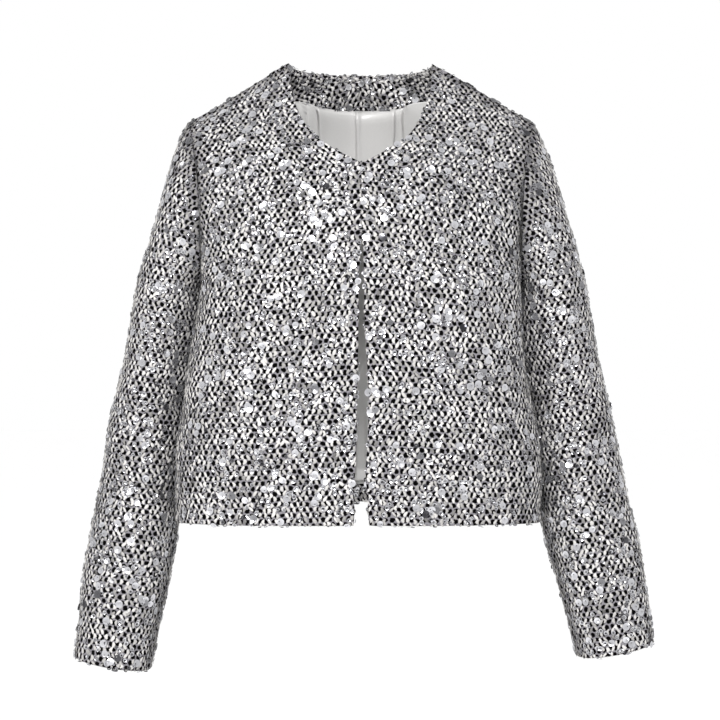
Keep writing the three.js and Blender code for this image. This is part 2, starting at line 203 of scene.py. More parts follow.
# z of the outer side, outer, inner, middle depth, half depth, lean
sleeveRows = {
    "left": [
        (-246, 242, 162.5, 14, 61, 15), (-309, 254.5, 169.5, 14, 58.5, 13.5),
        (-367, 267, 180, 12, 55, 13), (-425, 280, 190, 10, 51, 12.5),
        (-475, 290, 195.5, 5, 48, 12), (-525, 300, 207.5, -2, 46, 11),
        (-575, 308, 220.5, -8, 44, 10), (-621, 313.5, 232, -13, 42.5, 11),
    ],
    "right": [
        (-246, 240.5, 165.5, 15, 62, 14.5), (-309, 254.5, 174.5, 16, 59.5, 13),
        (-367, 267, 184.5, 15, 57, 11.5), (-425, 277, 192, 12, 52, 10.5),
        (-478, 286.5, 196, 6, 48.5, 10), (-530, 295, 205, 0, 46, 9),
        (-583, 302.5, 215.5, -7, 44, 9), (-636, 307, 225.5, -13, 42.5, 10),
    ],
}
# how the sleeve leaves the armhole: part of the way round, direction
headDirections = [
    (0, 0.45, 0.03, -0.89), (0.25, 0.85, 0, -0.53), (0.5, 0.93, 0, -0.37),
    (0.75, 0.85, 0.1, -0.52), (1, 0.45, 0.03, -0.89),
]


def signedPower(value, power):
    return np.sign(value) * np.abs(value) ** power


def lerp(a, b, t):
    return a + (b - a) * t


def hermite(start, leaving, end, arriving, f):
    return (
        start * (2 * f ** 3 - 3 * f ** 2 + 1) + leaving * (f ** 3 - 2 * f ** 2 + f)
        + end * (3 * f ** 2 - 2 * f ** 3) + arriving * (f ** 3 - f ** 2)
    )


def evenSteps(line, steps):
    # Points at even steps along a fine line.
    reach = np.concatenate([[0], np.cumsum(np.linalg.norm(np.diff(line, axis=0), axis=1))])
    wanted = np.linspace(0, reach[-1], steps + 1)
    return np.stack([np.interp(wanted, reach, line[:, k]) for k in range(3)], axis=1)


def neckPoint(angle, drop, reach):
    # On the neckline, from the centre (0) to the shoulder seam (90).
    turn = math.radians(angle)
    return np.array([
        cut["neckHalfWidth"] * math.sin(turn),
        cut["shoulderLineY"] + reach * math.cos(turn),
        -drop * math.cos(turn),
    ])


def panelRow(inner, outer, turn, fullness, columns):
    # A superellipse arc in plan from the inner to the outer end.
    part = np.linspace(0, 1, cut["fineRow"])
    power, end = 2 / fullness, math.radians(turn)
    across = signedPower(np.sin(end * part), power) / signedPower(math.sin(end), power)
    along = (1 - signedPower(np.cos(end * part), power)) / (1 - signedPower(math.cos(end), power))
    line = np.stack([
        lerp(inner[0], outer[0], across),
        lerp(inner[1], outer[1], along),
        lerp(inner[2], outer[2], across),
    ], axis=1)
    return evenSteps(line, columns)


def closedCurve(points, start, end):
    # Part of a closed Catmull-Rom curve, from one point's number to another's.
    points = np.array(points, float)
    result = []
    for t in np.linspace(start, end, cut["fineCurve"]):
        i = int(math.floor(t))
        f = t - i
        p0, p1, p2, p3 = (points[(i + k) % len(points)] for k in (-1, 0, 1, 2))
        result.append(
            p1 + (p2 - p0) / 2 * f
            + (p0 - 2.5 * p1 + 2 * p2 - p3 / 2) * f ** 2
            + (1.5 * (p1 - p2) + (p3 - p0) / 2) * f ** 3
        )
    return np.array(result)


underarm = 7
armholeFrontLine = closedCurve(armhole, underarm, 0)
armholeBackLine = closedCurve(armhole, underarm, len(armhole))


def halfPanel(part, half, columns):
    # The rows of a front or of half of the back, x outwards.
    isFront = part == "front"
    turn = cut["frontSideTurn"] if isFront else cut["backSideTurn"]
    widest = math.sin(math.radians(cut["frontSideTurn"])) ** (2 / cut["bodyFullness"])
    armLine = armholeFrontLine if isFront else armholeBackLine
    armPoints = evenSteps(armLine, cut["yokeRows"])
    column = 1 if half == "right" else 2
    edges = np.array(frontEdges, float)

    def innerAt(z, y):
        x = np.interp(z, edges[:, 0], edges[:, column]) if isFront else 0
        return np.array([x, y, z])

    rows = []
    for row in bodyRows:
        z = row[0]
        rise = cut["backHemRise"] if not isFront and z < cut["hemZ"] + 2 * cut["turnedHem"] else 0
        inner = innerAt(z, row[3] if isFront else row[4])
        inner[2] += rise
        outer = np.array([row[column] * widest, cut["sideSeamY"], z])
        if row is bodyRows[-1]:
            outer = armPoints[0]
        rows.append(panelRow(inner, outer, turn, cut["bodyFullness"], columns))
    for number, (kind, value, y, rowTurn, fullness) in enumerate(frontYoke if isFront else backYoke):
        if kind == "z":
            inner = innerAt(value, y)
        elif isFront:
            inner = neckPoint(value, cut["frontNeckDrop"], -cut["frontNeckReach"])
        else:
            inner = neckPoint(value, cut["backNeckDrop"], cut["backNeckReach"])
        rows.append(panelRow(inner, armPoints[number + 1], rowTurn, fullness, columns))
    return np.array(rows)


def smoothRows(rows, reach, corners, keys):
    # A smooth surface through the rows, with its own rows at the keys.
    # corners holds a row and how sharply each column turns there.
    slope = np.gradient(rows, reach, axis=0)
    arrive, leave = slope.copy(), slope.copy()
    for r, weight in corners:
        below = (rows[r] - rows[r - 1]) / (reach[r] - reach[r - 1])
        above = (rows[r + 1] - rows[r]) / (reach[r + 1] - reach[r])
        arrive[r] = lerp(slope[r], below, weight[:, None])
        leave[r] = lerp(slope[r], above, weight[:, None])
    result, keyRows = [rows[0]], []
    for first, last in zip(keys, keys[1:]):
        steps = round((reach[last] - reach[first]) / cut["gridStep"])
        for wanted in np.linspace(reach[first], reach[last], steps + 1)[1:]:
            i = min(max(int(np.searchsorted(reach, wanted)) - 1, 0), len(reach) - 2)
            size = reach[i + 1] - reach[i]
            f = (wanted - reach[i]) / size
            result.append(hermite(rows[i], leave[i] * size, rows[i + 1], arrive[i + 1] * size, f))
        keyRows.append(len(result) - 1)
    return np.array(result), keyRows


def panelGrids(part):
    # The smooth outer surfaces of both fronts, or of both halves of the back, x outwards.
    # Also gives the row where the neckline starts.
    columns = round(cut["panelAround"] / cut["gridStep"])
    halves = {half: halfPanel(part, half, columns) for half in ("left", "right")}
    gaps = [np.linalg.norm(np.diff(rows, axis=0), axis=2).mean(axis=1) for rows in halves.values()]
    reach = np.concatenate([[0], np.cumsum(np.mean(gaps, axis=0))])
    spread = np.linspace(0, 1, columns + 1)
    underarmRow, neckRow = len(bodyRows) - 1, cut["neckRows"][part]
    corners = [(underarmRow, spread ** 2), (neckRow, (1 - spread) ** 4)]
    grids = {}
    for half, rows in halves.items():
        grid, keyRows = smoothRows(rows, reach, corners, [0, underarmRow, neckRow, len(rows) - 1])
        grid[..., 0] = np.maximum(grid[..., 0], cut["frontEdgeLeast"] if part == "front" else 0)
        grids[half] = grid
    return grids, keyRows[1]


def sleeveRing(row, sides):
    # A superellipse round the sleeve, leaning with its axis and turned a little forwards.
    z, outer, inner, y, deep, lean = row
    tilt, twist = math.radians(lean), math.radians(cut["sleeveTwist"])
    half = (outer - inner) / 2 / math.cos(tilt)
    slim = math.sqrt(half ** 2 - (deep * math.sin(twist)) ** 2) / math.cos(twist)
    out = np.array([math.cos(tilt), 0, math.sin(tilt)])
    forward = np.array([0, -1.0, 0])
    short = out * math.cos(twist) - forward * math.sin(twist)
    long = forward * math.cos(twist) + out * math.sin(twist)
    centre = np.array([outer, y, z]) - out * half
    angle = np.linspace(0, 2 * math.pi, cut["fineRing"])[:, None]
    power = 2 / cut["sleeveFullness"]
    line = (
        centre + short * slim * signedPower(np.cos(angle), power)
        + long * deep * signedPower(np.sin(angle), power)
    )
    return evenSteps(line, sides)


def headDirection(part):
    # The way that the sleeve leaves the armhole, part of the way round it.
    for low, high in zip(headDirections, headDirections[1:]):
        if part <= high[0]:
            f = (part - low[0]) / (high[0] - low[0])
            f = f * f * (3 - 2 * f)
            direction = lerp(np.array(low[1:]), np.array(high[1:]), f)
            return direction / np.linalg.norm(direction)
    return np.array(headDirections[-1][1:])


def sleeveGrid(half):
    # From the armhole to the cuff, and round from the underarm seam back to it.
    sides = 2 * round(cut["sleeveAround"] / cut["gridStep"] / 2)
    front = evenSteps(armholeFrontLine, sides // 2)[::-1]
    back = evenSteps(armholeBackLine, sides // 2)
    seam = np.concatenate([front, back[1:]])
    rings = [sleeveRing(row, sides) for row in sleeveRows[half]]
    leave = np.array([headDirection(j / sides) for j in range(sides + 1)])
    reach = np.linalg.norm(rings[0] - seam, axis=1)[:, None]
    down = rings[1] - rings[0]
    down = down / np.linalg.norm(down, axis=1)[:, None] * reach
    grid = [seam]
    headSteps = round(reach.mean() / cut["gridStep"])
    for step in range(1, headSteps + 1):
        grid.append(hermite(seam, leave * reach, rings[0], down, step / headSteps))
    for s in range(len(rings) - 1):
        before, after = rings[max(0, s - 1)], rings[min(len(rings) - 1, s + 2)]
        steps = round(np.linalg.norm(rings[s + 1] - rings[s], axis=1).mean() / cut["gridStep"])
        first, last = (rings[s + 1] - before) / 2, (after - rings[s]) / 2
        for step in range(1, steps + 1):
            grid.append(hermite(rings[s], first, rings[s + 1], last, step / steps))
    grid = np.array(grid)[::-1, :-1]
    grid = np.roll(grid, -(sides // 2), axis=1)
    return np.concatenate([grid, grid[:, :1]], axis=1)


# how finely a panel is laid flat
unrolling = {"rows": 30, "columns": 22, "rounds": 900, "speed": 1.2}


def flatten(grid, middle, pinned=0):
    # Lays a panel flat with springs that keep its lengths, worked out on some of its rows and
    # columns. Up to the pinned row its first column lies on a straight line; without one, the
    # middle column ends up upright.
    rowIds = np.linspace(0, grid.shape[0] - 1, unrolling["rows"]).astype(int)
    rowIds = np.unique(np.concatenate([rowIds, [pinned]]))
    columnIds = np.unique(np.linspace(0, grid.shape[1] - 1, unrolling["columns"]).astype(int))
    small = grid[np.ix_(rowIds, columnIds)]
    mid = int(np.argmin(np.abs(columnIds - middle)))
    across = np.linalg.norm(np.diff(small, axis=1), axis=2)
    u = np.concatenate([np.zeros((len(rowIds), 1)), np.cumsum(across, axis=1)], axis=1)
    u += small[:, :1, 0] if pinned else -u[:, mid:mid + 1]
    up = np.linalg.norm(np.diff(small[:, mid], axis=0), axis=1)
    v = np.concatenate([[0], np.cumsum(up)])[:, None] + 0 * u
    flat = np.stack([u, v], axis=2)
    fixed = int(np.searchsorted(rowIds, pinned)) + 1 if pinned else 0
    links = [((0, 1), 1.0), ((1, 0), 1.0), ((1, 1), 0.5), ((1, -1), 0.5)]

    def pair(array, dr, dc):
        first = array[:array.shape[0] - dr, max(0, -dc):array.shape[1] - max(0, dc)]
        second = array[dr:, max(0, dc):array.shape[1] + min(0, dc)]
        return first, second

    for _ in range(unrolling["rounds"]):
        move = np.zeros_like(flat)
        weight = np.zeros(flat.shape[:2] + (1,))
        for (dr, dc), stiff in links:
            p, q = pair(small, dr, dc)
            length = np.linalg.norm(q - p, axis=2)[..., None]
            a, b = pair(flat, dr, dc)
            now = np.linalg.norm(b - a, axis=2)[..., None]
            push = (b - a) / np.maximum(now, 1e-6) * (now - length) * 0.5 * stiff
            moveA, moveB = pair(move, dr, dc)
            moveA += push
            moveB -= push
            weightA, weightB = pair(weight, dr, dc)
            weightA += stiff
            weightB += stiff
        step = move / weight * unrolling["speed"]
        step[:fixed, 0] = 0
        flat += step
    if not pinned:
        lean = flat[len(rowIds) // 2, mid] - flat[0, mid]
        angle = math.atan2(lean[0], lean[1])
        turned = flat - flat[0, mid]
        c, s = math.cos(angle), math.sin(angle)
        u, v = turned[..., 0], turned[..., 1]
        flat = np.stack([u * c - v * s, u * s + v * c], axis=2)
    allRows, allColumns = np.arange(grid.shape[0]), np.arange(grid.shape[1])
    full = []
    for part in (flat[..., 0], flat[..., 1]):
        tall = np.array([np.interp(allRows, rowIds, column) for column in part.T])
        full.append([np.interp(allColumns, columnIds, row) for row in tall.T])
    return np.stack(full, axis=2)


drape = {
    "waves": ((150, 1.0), (85, 0.6), (46, 0.35)),   # size and height, all over the cloth
    "pastEnds": 0.2, "fade": 0.7,   # how far creases reach past their ends, and fade, as shares
}


def softWaves(places, size, chance):
    # Three waves that cross the flat cloth in any direction.
    total = np.zeros(places.shape[:-1])
    for _ in range(3):
        direction, phase = chance.random() * 2 * math.pi, chance.random() * 6.3
        wave = places @ np.array([math.cos(direction), math.sin(direction)]) / size
        total += np.sin(2 * math.pi * wave + phase)
    return total


def creaseHeights(flat, creases, flip, seed):
    # How far the cloth stands off its form at places on the flat panel.
    height = np.zeros(flat.shape[:-1])
    for start, end, deep, wide, bow in creases:
        a, b = np.array(start, float), np.array(end, float)
        if flip:
            a, b = a * (-1, 1), b * (-1, 1)
        along = b - a
        length = np.linalg.norm(along)
        along = along / length
        across = np.array([-along[1], along[0]])
        offset = flat - a
        t = (offset @ along) / length
        line = (offset @ across) - bow * np.sin(np.clip(t, 0, 1) * math.pi)
        fade = np.clip((np.minimum(t, 1 - t) + drape["pastEnds"]) / drape["fade"], 0, 1)
        height += deep * np.exp(-(line / wide) ** 2) * fade * fade * (3 - 2 * fade)
    chance = np.random.default_rng(seed)
    for size, amount in drape["waves"]:
        height += amount / 2 * softWaves(flat, size, chance)
    return height


def meshPiece(name, points, faces, uv=None, tones=None, materials=(), faceLooks=None):
    # A finished object from points in millimetres.
    mesh = bpy.data.meshes.new(name)
    mesh.from_pydata((np.asarray(points) * mm).tolist(), [], np.asarray(faces).tolist())
    for material in materials:
        mesh.materials.append(material)
    if faceLooks is not None:
        mesh.polygons.foreach_set("material_index", np.asarray(faceLooks, np.int32))
    corner = np.zeros(len(mesh.loops), np.int32)
    mesh.loops.foreach_get("vertex_index", corner)
    if uv is not None:
        layer = mesh.uv_layers.new(name="cut")
        layer.data.foreach_set("uv", (np.asarray(uv) * mm)[corner].astype(np.float32).ravel())
    if tones is not None:
        tone = mesh.attributes.new("tone", "FLOAT", "POINT")
        tone.data.foreach_set("value", np.asarray(tones, np.float32))
    mesh.shade_smooth()
    mesh.update()
    piece = bpy.data.objects.new(name, mesh)
    bpy.context.scene.collection.objects.link(piece)
    return piece


def gridFaces(rows, columns, first=0):
    ids = np.arange(rows * columns).reshape(rows, columns) + first
    quads = np.stack([ids[:-1, :-1], ids[:-1, 1:], ids[1:, 1:], ids[1:, :-1]], axis=2)
    return quads.reshape(-1, 4)


def stacked(patches, key):
    # One kind of values of all the patches, with a row for each of their points.
    return np.concatenate([p[key].reshape(p["dip"].size, -1) for p in patches])


def patchFaces(patches):
    quads, first = [], 0
    for p in patches:
        rows, columns = p["points"].shape[:2]
        quads.append(gridFaces(rows, columns, first))
        first += rows * columns
    return np.concatenate(quads)


def joinPatches(patches):
    # Patches are dictionaries of grids. Points that share a place and a place on the cut become one.
    fields = {key: stacked(patches, key) for key in patches[0]}
    keys = np.concatenate([fields["points"], fields["flat"]], axis=1) * cut["weldsPerMm"]
    keys = np.round(keys).astype(int)
    _, keep, number = np.unique(keys, axis=0, return_index=True, return_inverse=True)
    joined = {key: value[keep] for key, value in fields.items()}
    joined["faces"] = number.reshape(-1)[patchFaces(patches)]
    for key in ("dip", "hem", "depth", "soft"):
        joined[key] = joined[key][:, 0]
    return joined


def pointNormals(points, faces):
    # Points in one place get one normal, also where the cut is in two pieces.
    a, b, c, d = (points[faces[:, k]] for k in range(4))
    faceNormal = np.cross(c - a, d - b)
    keys = np.round(points * cut["weldsPerMm"]).astype(int)
    _, place = np.unique(keys, axis=0, return_inverse=True)
    place = place.reshape(-1)
    normals = np.zeros((place.max() + 1, 3))
    for k in range(4):
        np.add.at(normals, place[faces[:, k]], faceNormal)
    normals = normals[place]
    return normals / np.maximum(np.linalg.norm(normals, axis=1), 1e-9)[:, None]


def openEdge(faces, count):
    # The points on open edges with the ones before and after them, in the faces' own order.
    a, b = faces.reshape(-1), np.roll(faces, -1, axis=1).reshape(-1)
    alone = ~np.isin(a.astype(np.int64) * count + b, b.astype(np.int64) * count + a)
    after, before = np.full(count, -1), np.full(count, -1)
    after[a[alone]] = b[alone]
    before[b[alone]] = a[alone]
    loop = np.flatnonzero(after >= 0)
    return loop, before[loop], after[loop]


def edgeDirections(points, normals, loop, before, after):
    tangent = points[after] - points[before]
    away = np.cross(tangent, normals[loop])
    return away / np.maximum(np.linalg.norm(away, axis=1), 1e-9)[:, None]


def clothShell(name, cloth, innerLook, materials):
    # A wall of cloth with rounded turned edges: outer face, inner face and a rim between them.
    outer, normals, faces, flat = (cloth[key] for key in ("points", "normals", "faces", "flat"))
    inner = outer - normals * cloth["depth"][:, None]
    count = len(outer)
    loop, before, after = openEdge(faces, count)
    away = edgeDirections(outer, normals, loop, before, after)
    bulge = np.where(cloth["soft"][loop] > 0, 1.0, 0.0)[:, None]
    half = (outer[loop] - inner[loop]) / 2
    points = [outer, inner]
    for angle in cut["rimAngles"]:
        turn = math.radians(angle)
        reach = np.linalg.norm(half, axis=1)[:, None] * math.sin(turn)
        points.append((outer[loop] + inner[loop]) / 2 + half * math.cos(turn) + away * bulge * reach)
    place = np.full(count, -1)
    place[loop] = np.arange(len(loop))
    bends = len(cut["rimAngles"])
    rims = [2 * count + len(loop) * k + np.arange(len(loop)) for k in range(bends)]
    rims = [loop, *rims, loop + count]
    following = place[after]
    rimFaces = [
        np.stack([b, b[following], a[following], a], axis=1) for a, b in zip(rims, rims[1:])
    ]
    innerLooks = np.where((cloth["hem"][faces] > 0).all(axis=1), 0, innerLook)
    rimLooks = np.zeros((bends + 1) * len(loop))
    return meshPiece(
        name, np.concatenate(points), np.concatenate([faces, faces[:, ::-1] + count] + rimFaces),
        np.concatenate([flat] * 2 + [flat[loop]] * bends), materials=materials,
        faceLooks=np.concatenate([np.zeros(len(faces)), innerLooks, rimLooks]),
    )


print("cut ready")


# Weave, in millimetres

weave = {
    "pitch": 6.6,                 # from one black gap to the next along a row
    "rowStep": 5.6,
    "gapRadius": (2.3, 2.8),      # black inside the first, thread outside the second
    "gapUneven": 3.0,
    "wander": 4.5, "wanderOver": 9,   # how far the yarns stray from their rows, and over what
    "slub": 2.2,                  # thickness of the ground yarn
    "floatLong": 6.2, "floatWide": 3.3, "floatHigh": 1.0,
    "longSpread": 0.08, "wideSpread": 0.12, "highSpread": 0.15,
    "lean": 1.5, "leanSpread": (0.3, 1.5),   # how far a float's ends swing to the sides
    "jitter": 0.9,
    "missing": 0.05,              # share of the floats that are hidden, as bigger black gaps
    "offCloth": 0.6,              # a float farther than this from the cloth is left out
    "sunk": 0.05,
    # along a float: place, width, height
    "floatRows": (
        (-1, 0.6, 0.0), (-0.6, 0.95, 0.75), (0, 1.0, 1.0), (0.6, 0.95, 0.75), (1, 0.6, 0.0),
    ),
    "sideDrop": 0.85,
    "tone": 0.68, "tonePatches": 0.06, "toneSpread": 0.2,
    # painted shade: floats are darker at their sides and ends, where they dip down into the ground
    "sideShadeTone": 0.82, "endShadeTone": 0.85,
    "patchSizes": (70, 38, 21),   # stretches of cloth that are lighter or darker
    # painted shade: yarn and sequins are darkened near every seam, so the shadow between sleeve and
    # body shows
    "seamShadowTone": 0.15, "seamShadowReach": 18,   # how light yarn is in a seam, and how far that reaches
}


# Materials

def groundMaterial():
    # Black wool and cotton boucle yarn: matt black gaps between the floats, with paler threads
    # showing around them.
    material, tree, shader = newMaterial("black boucle ground yarn")
    uv = addNode(tree, "ShaderNodeUVMap", {"uv_map": "cut"})
    place = addNode(tree, "ShaderNodeSeparateXYZ", inputs={"Vector": uv.outputs["UV"]})
    slubs = addNode(tree, "ShaderNodeTexNoise", inputs={
        "Vector": uv.outputs["UV"], "Scale": 1 / (weave["slub"] * mm), "Detail": 3.0,
    })
    sockets = {"u": place.outputs["X"], "v": place.outputs["Y"], "slubs": slubs.outputs["Fac"]}
    for name, seed in (("uNoise", 7.0), ("vNoise", 3.0)):
        noise = addNode(tree, "ShaderNodeTexNoise", {"noise_dimensions": "4D"}, {
            "Vector": uv.outputs["UV"], "W": seed, "Scale": 1 / (weave["wanderOver"] * mm),
            "Detail": 1.0,
        })
        sockets[name] = noise.outputs["Fac"]
    # The staggered rows of black gaps and how far each point is from the nearest one, step by
    # step: the step's name, what it does and with what.
    for name, operation, *values in (
        ("uStray", "SUBTRACT", "uNoise", 0.5),
        ("uShift", "MULTIPLY", "uStray", weave["wander"] * mm),
        ("uPlace", "ADD", "u", "uShift"),
        ("vStray", "SUBTRACT", "vNoise", 0.5),
        ("vShift", "MULTIPLY", "vStray", weave["wander"] * mm),
        ("vPlace", "ADD", "v", "vShift"),
        ("rows", "DIVIDE", "vPlace", weave["rowStep"] * mm),
        ("row", "ROUND", "rows"),
        ("oddRow", "FLOORED_MODULO", "row", 2.0),
        ("stagger", "MULTIPLY", "oddRow", 0.5),
        ("pitches", "DIVIDE", "uPlace", weave["pitch"] * mm),
        ("evened", "SUBTRACT", "pitches", "stagger"),
        ("columns", "SUBTRACT", "evened", 0.5),
        ("column", "ROUND", "columns"),
        ("besideShare", "SUBTRACT", "columns", "column"),
        ("beside", "MULTIPLY", "besideShare", weave["pitch"]),
        ("aboveShare", "SUBTRACT", "rows", "row"),
        ("above", "MULTIPLY", "aboveShare", weave["rowStep"]),
        ("besideSquared", "MULTIPLY", "beside", "beside"),
        ("aboveSquared", "MULTIPLY", "above", "above"),
        ("awaySquared", "ADD", "besideSquared", "aboveSquared"),
        ("away", "SQRT", "awaySquared"),
        ("uneven", "MULTIPLY_ADD", "slubs", weave["gapUneven"], -weave["gapUneven"] / 2),
        ("unevenAway", "ADD", "away", "uneven"),
    ):
        inputs = {number: sockets.get(value, value) for number, value in enumerate(values)}
        node = addNode(tree, "ShaderNodeMath", {"operation": operation}, inputs)
        sockets[name] = node.outputs["Value"]
    blackTo, threadFrom = weave["gapRadius"]
    thread = addNode(tree, "ShaderNodeMapRange", inputs={
        "Value": sockets["unevenAway"], "From Min": blackTo, "From Max": threadFrom,
    })
    ramp = addNode(tree, "ShaderNodeValToRGB", inputs={"Fac": thread.outputs["Result"]})
    ramp.color_ramp.elements[0].color = linearColour("#020202")
    ramp.color_ramp.elements[1].color = linearColour("#6a686c")
    tree.links.new(ramp.outputs["Color"], shader.inputs["Base Color"])
    bump = addNode(tree, "ShaderNodeBump", inputs={
        "Height": slubs.outputs["Fac"], "Strength": 0.6, "Distance": 0.8 * mm,
    })
    tree.links.new(bump.outputs["Normal"], shader.inputs["Normal"])
    shader.inputs["Roughness"].default_value = 0.95
    shader.inputs["Specular IOR Level"].default_value = 0.03
    return material


def floatMaterial():
    # White and grey cotton ribbon yarn with a silver thread: soft, slightly shiny ridges.
    material, tree, shader = newMaterial("white cotton ribbon yarn")
    tone = addNode(tree, "ShaderNodeAttribute", {"attribute_name": "tone"})
    place = addNode(tree, "ShaderNodeTexCoord")
    fibres = addNode(tree, "ShaderNodeTexNoise", inputs={
        "Vector": place.outputs["Object"], "Scale": 1 / (0.7 * mm), "Detail": 2.0,
    })
    mixed = addNode(tree, "ShaderNodeMath", {"operation": "MULTIPLY_ADD"}, {
        0: fibres.outputs["Fac"], 1: 0.35, 2: tone.outputs["Fac"],
    })
    ramp = addNode(tree, "ShaderNodeValToRGB", inputs={"Fac": mixed.outputs["Value"]})
    ramp.color_ramp.elements[0].position = 0.1
    ramp.color_ramp.elements[0].color = linearColour("#2f2e2e")
    ramp.color_ramp.elements[1].position = 1.1
    ramp.color_ramp.elements[1].color = linearColour("#aeacaa")
    middle = ramp.color_ramp.elements.new(0.6)
    middle.color = linearColour("#868482")
    tree.links.new(ramp.outputs["Color"], shader.inputs["Base Color"])
    bump = addNode(tree, "ShaderNodeBump", inputs={
        "Height": fibres.outputs["Fac"], "Strength": 0.4, "Distance": 0.3 * mm,
    })
    tree.links.new(bump.outputs["Normal"], shader.inputs["Normal"])
    shader.inputs["Roughness"].default_value = 0.5
    shader.inputs["Specular IOR Level"].default_value = 0.3
    return material


def sequinMaterial():
    # Silver-coated plastic paillettes: thin, smooth, mirror-like when they face the light.
    material, tree, shader = newMaterial("silver coated paillette")
    tone = addNode(tree, "ShaderNodeAttribute", {"attribute_name": "tone"})
    ramp = addNode(tree, "ShaderNodeValToRGB", inputs={"Fac": tone.outputs["Fac"]})
    ramp.color_ramp.elements[0].color = linearColour("#28282c")
    ramp.color_ramp.elements[1].color = linearColour("#c8c8cc")
    tree.links.new(ramp.outputs["Color"], shader.inputs["Base Color"])
    shader.inputs["Metallic"].default_value = 0.8
    shader.inputs["Roughness"].default_value = 0.2
    return material


def satinMaterial():
    # Polyester satin lining: very fine weave, smooth sheen across the folds.
    material, tree, shader = newMaterial("pale grey polyester satin")
    uv = addNode(tree, "ShaderNodeUVMap", {"uv_map": "cut"})
    threads = addNode(tree, "ShaderNodeTexNoise", inputs={
        "Vector": uv.outputs["UV"], "Scale": 1 / (1.5 * mm), "Detail": 2.0,
    })
    ramp = addNode(tree, "ShaderNodeValToRGB", inputs={"Fac": threads.outputs["Fac"]})
    ramp.color_ramp.elements[0].color = linearColour("#a3a2a1")
    ramp.color_ramp.elements[1].color = linearColour("#adacab")
    tree.links.new(ramp.outputs["Color"], shader.inputs["Base Color"])
    bump = addNode(tree, "ShaderNodeBump", inputs={
        "Height": threads.outputs["Fac"], "Strength": 0.05, "Distance": 0.1 * mm,
    })
    tree.links.new(bump.outputs["Normal"], shader.inputs["Normal"])
    shader.inputs["Roughness"].default_value = 0.38
    shader.inputs["Anisotropic"].default_value = 0.4
    return material


ground = groundMaterial()
floats = floatMaterial()
sequin = sequinMaterial()
satin = satinMaterial()
print("materials ready")


# Floats and sequins, in millimetres

sequins = {
    "areaEach": 62.0,             # square millimetres of cloth for each sequin
    "bigShare": 0.12,
    "scatter": 4.5,               # how much chance there is in the clusters
    "tilt": 11,                   # degrees, the spread to both sides
    # painted shade and painted reflection: each sequin gets a lit or a shaded tone, as if it faced
    # towards or away from the light
    "dark": 0.14,                 # share that turns away from the light
    "shadedTones": (0.0, 0.45), "litTones": (0.7, 1),
    "loose": (0, 0.5),            # how far the thread lets them off the cloth
    "ringHeights": (-0.3, 0.1, -0.3),   # hole's edge, outer edge, and just under it on big ones
    "underRim": 0.96,
    "sharpFrom": 35,
    # hole and its shift to one side as shares of the radius, height as one of a float's, and a tone
    # for each ring, lowest at the hole's edge as painted shade of the sequin's hollow
    "big": {
        "across": (6.6, 8.4), "hole": 0.15, "shift": 0.4, "sides": 12, "height": 1.3,
        "ringShadeTones": (0.8, 1, 1),
    },
    "small": {
        "across": (3.6, 5.2), "hole": 0.32, "shift": 0.08, "sides": 8, "height": 1.05,
        "ringShadeTones": (0.1, 1),
    },
}


class ClothFace:
    # The tweed face of a panel: finds points on it from places on the flat cut.

    def __init__(self, points, normals, flat, faces, seams, seamShadowTone):
        self.points, self.normals, self.flat = points, normals, flat
        self.seamShadowTone = seamShadowTone
        self.seams = KDTree(len(seams))
        for index, (u, v) in enumerate(seams):
            self.seams.insert((u, v, 0), index)
        self.seams.balance()
        self.triangles = np.concatenate([faces[:, [0, 1, 2]], faces[:, [0, 2, 3]]])
        corners = [Vector((u, v, 0)) for u, v in flat]
        self.tree = BVHTree.FromPolygons(corners, self.triangles.tolist())

    def find(self, places):
        # Points, normals and how far each place lies from the cloth.
        found, distance = [], []
        for u, v in places:
            _, _, index, away = self.tree.find_nearest(Vector((u, v, 0)))
            found.append(index)
            distance.append(away)
        corner = self.triangles[np.array(found)]
        a, b, c = (self.flat[corner[:, k]] for k in range(3))
        p = np.asarray(places)
        total = self.cross(b - a, c - a)
        wb = np.clip(self.cross(p - a, c - a) / total, 0, 1)
        wc = np.clip(self.cross(b - a, p - a) / total, 0, 1)
        over = np.maximum(wb + wc, 1)
        wb, wc = wb / over, wc / over
        weights = np.stack([1 - wb - wc, wb, wc], axis=1)[..., None]
        place = (self.points[corner] * weights).sum(axis=1)
        normal = (self.normals[corner] * weights).sum(axis=1)
        normal /= np.linalg.norm(normal, axis=1)[:, None]
        return place, normal, np.array(distance)

    def paintedSeamShade(self, places):
        # Painted shade: how light yarn and sequins are, the seam's shadow tone at a seam, up to 1 away
        # from it.
        away = np.array([self.seams.find((u, v, 0))[2] or 0 for u, v in places])
        return np.clip(lerp(self.seamShadowTone, 1, away / weave["seamShadowReach"]), 0, 1)

    @staticmethod
    def cross(a, b):
        return a[:, 0] * b[:, 1] - a[:, 1] * b[:, 0]


def flatAreas(flat, faces):
    # The faces' areas on the flat cut, below zero where they lie the other way up.
    a, b = flat[faces[:, 2]] - flat[faces[:, 0]], flat[faces[:, 3]] - flat[faces[:, 1]]
    return ClothFace.cross(a, b) / 2


def flatArea(cloth):
    return float(np.abs(flatAreas(cloth["flat"], cloth["faces"])).sum())


